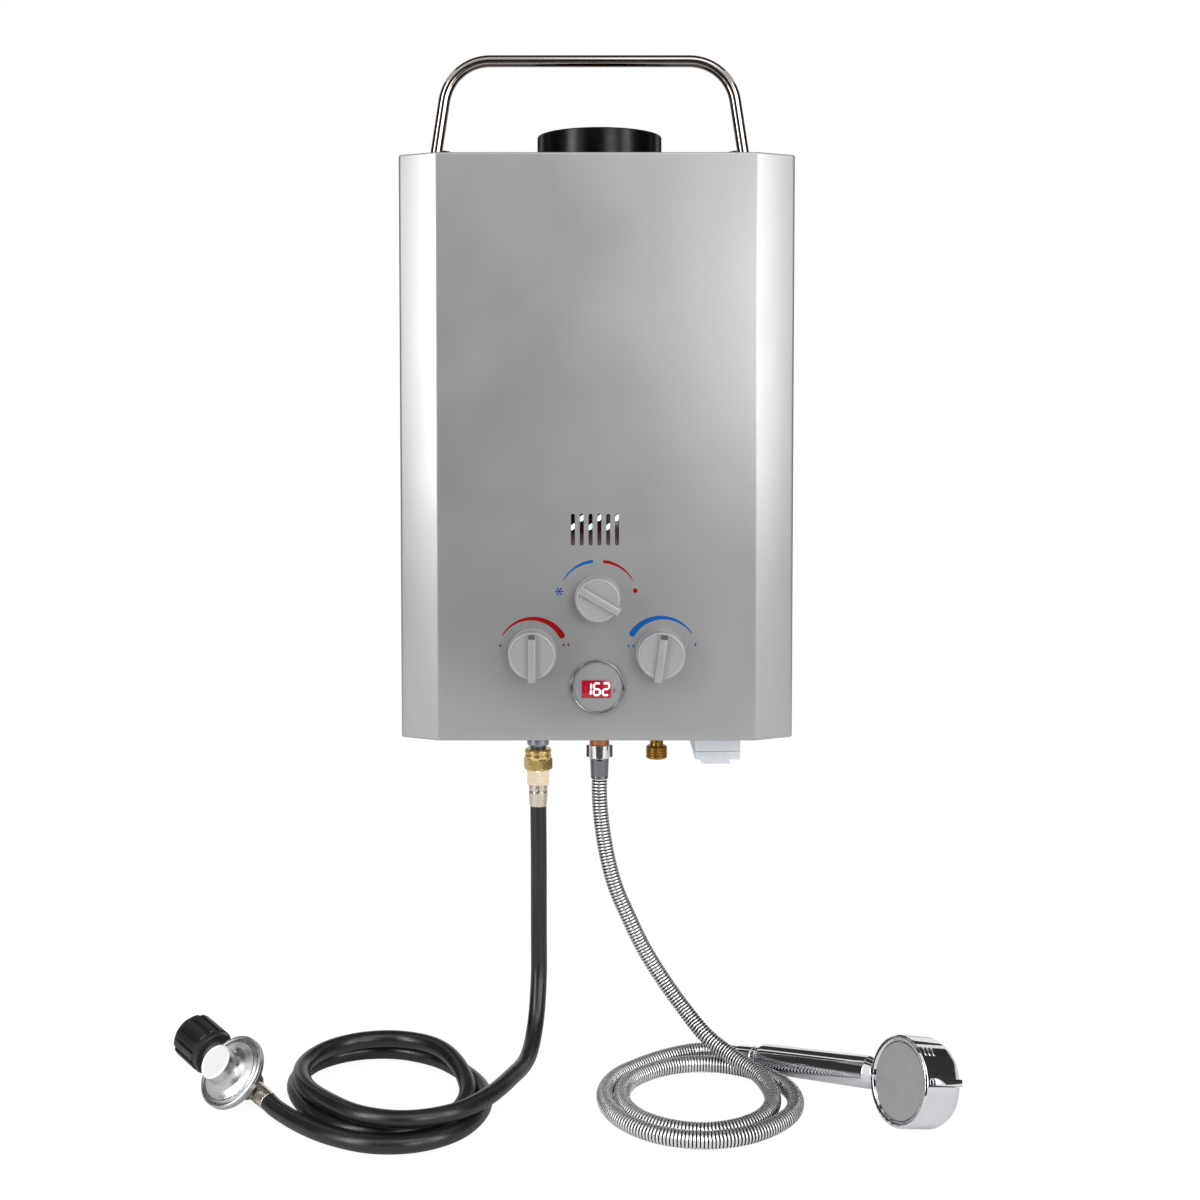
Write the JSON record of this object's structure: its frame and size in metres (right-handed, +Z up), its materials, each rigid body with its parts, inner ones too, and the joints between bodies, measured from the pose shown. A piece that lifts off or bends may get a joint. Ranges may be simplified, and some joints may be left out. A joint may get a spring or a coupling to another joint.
{
  "type": "portable gas water heater",
  "caption": "Wall-hung outdoor gas water heater with a carry handle, flue collar, control knobs, gas hose with regulator and a hand shower on a metal hose.",
  "frame": {"origin": "centre of the hang hole on the rear face of the back panel", "axes": "+Z up, the front panel faces -Y, +X to the right as seen from the front; the back panel lies in the plane Y = 0"},
  "size_m": [0.5862, 0.2288, 0.7902],
  "materials": {
    "case_sheet": "satin silver paint",
    "zinc_sheet": "galvanised",
    "screw_steel": "plated",
    "black_enamel": "gloss black enamel",
    "polished_steel": "polished",
    "copper": "bright copper",
    "burner_steel": "heat tinted",
    "ceramic": null,
    "cast_alloy": "die cast",
    "brass": "turned",
    "aluminium_pipe": "drawn",
    "black_plastic": "moulded",
    "clear_white": "translucent white",
    "cell_wrap": "printed sleeve, no lettering",
    "red_rubber": "silicone",
    "knob_silver": "silver coated",
    "dark_plastic": "moulded",
    "bright_chrome": "polished",
    "red_window": "tinted window",
    "zinc_plated": "zinc plated",
    "black_rubber": "smooth",
    "hose_metal": "wound strip",
    "grey_plastic": "moulded"
  },
  "bodies": {
    "heater": {"front_cover": "case_sheet", "back_panel": "zinc_sheet", "top_plate": "case_sheet", "bottom_plate": "case_sheet", "cover_screws": "screw_steel", "flue_collar": "black_enamel", "flue_hood": "zinc_sheet", "handle_brackets": "screw_steel", "exchanger_shell": "copper", "exchanger_fins": "copper", "exchanger_coil": "copper", "burner_frame": "zinc_sheet", "burner_bars": "burner_steel", "gas_manifold": "zinc_sheet", "electrodes": "ceramic", "thermal_sensors": "black_plastic", "gas_valve_body": "cast_alloy", "gas_solenoid": "brass", "gas_pipe": "aluminium_pipe", "water_valve_body": "brass", "valve_cover": "brass", "micro_switch": "black_plastic", "season_valve": "zinc_sheet", "cold_pipe": "copper", "hot_pipe": "copper", "igniter_box": "black_plastic", "battery_box": "clear_white", "battery_cells": "cell_wrap", "battery_contacts": "zinc_sheet", "ignition_leads": "red_rubber", "display_module": "dark_plastic", "display_bezel": "bright_chrome", "display_lens": "red_window", "gas_inlet": "zinc_plated", "hose_flare_nut": "brass", "hose_adapter": "brass", "gas_hose_ferrules": "brass", "gas_hose": "black_rubber", "regulator_body": "zinc_plated", "regulator_bell": "zinc_plated", "water_outlet": "copper", "shower_hose_nut": "bright_chrome", "shower_hose_sleeve": "bright_chrome", "shower_hose": "hose_metal", "shower_end_nut": "bright_chrome", "shower_handle": "bright_chrome", "shower_head": "bright_chrome", "shower_face": "grey_plastic", "water_inlet": "brass"},
    "carry_handle": {"handle": "polished_steel"},
    "flame_control": {"flame_knob": "knob_silver", "flame_stem": "screw_steel"},
    "water_control": {"water_knob": "knob_silver", "water_stem": "screw_steel"},
    "season_control": {"season_knob": "knob_silver", "season_stem": "screw_steel"},
    "battery_door": {"battery_lid": "clear_white"},
    "cylinder_nut": {"regulator_nut": "black_plastic"},
    "spray_selector": {"shower_lever": "bright_chrome"},
    "valve_pin": {"push_rod": "screw_steel"}
  },
  "joints": [
    {"name": "handle_fold", "type": "hinge", "parent": "heater", "child": "carry_handle", "pos_m": [-0.0055, -0.06, 0.031], "axis": [1, 0, 0], "range_deg": [-88, 88]},
    {"name": "flame_turn", "type": "hinge", "parent": "heater", "child": "flame_control", "pos_m": [-0.0477, -0.135, -0.345], "axis": [0, -1, 0], "range_deg": [-60, 60]},
    {"name": "water_turn", "type": "hinge", "parent": "heater", "child": "water_control", "pos_m": [0.0477, -0.135, -0.345], "axis": [0, -1, 0], "range_deg": [-48, 64]},
    {"name": "season_turn", "type": "hinge", "parent": "heater", "child": "season_control", "pos_m": [0.001, -0.135, -0.304], "axis": [0, -1, 0], "range_deg": [-120, 0]},
    {"name": "battery_door_open", "type": "hinge", "parent": "heater", "child": "battery_door", "pos_m": [0.0925, -0.0219, -0.4264], "axis": [1, 0, 0], "range_deg": [0, 95]},
    {"name": "cylinder_nut_turn", "type": "hinge", "parent": "heater", "child": "cylinder_nut", "pos_m": [-0.30433, -0.09202, -0.65506], "axis": [-0.6736, 0.7223, 0.1564], "continuous": true},
    {"name": "spray_select", "type": "hinge", "parent": "heater", "child": "spray_selector", "pos_m": [0.22956, -0.18456, -0.64534], "axis": [-0.8713, -0.4344, 0.2284], "range_deg": [-15, 15]},
    {"name": "valve_pin_push", "type": "slide", "parent": "heater", "child": "valve_pin", "axis": [-1, 0, 0], "range_m": [0, 0.003], "stiffness_N_per_m": 600}
  ]
}
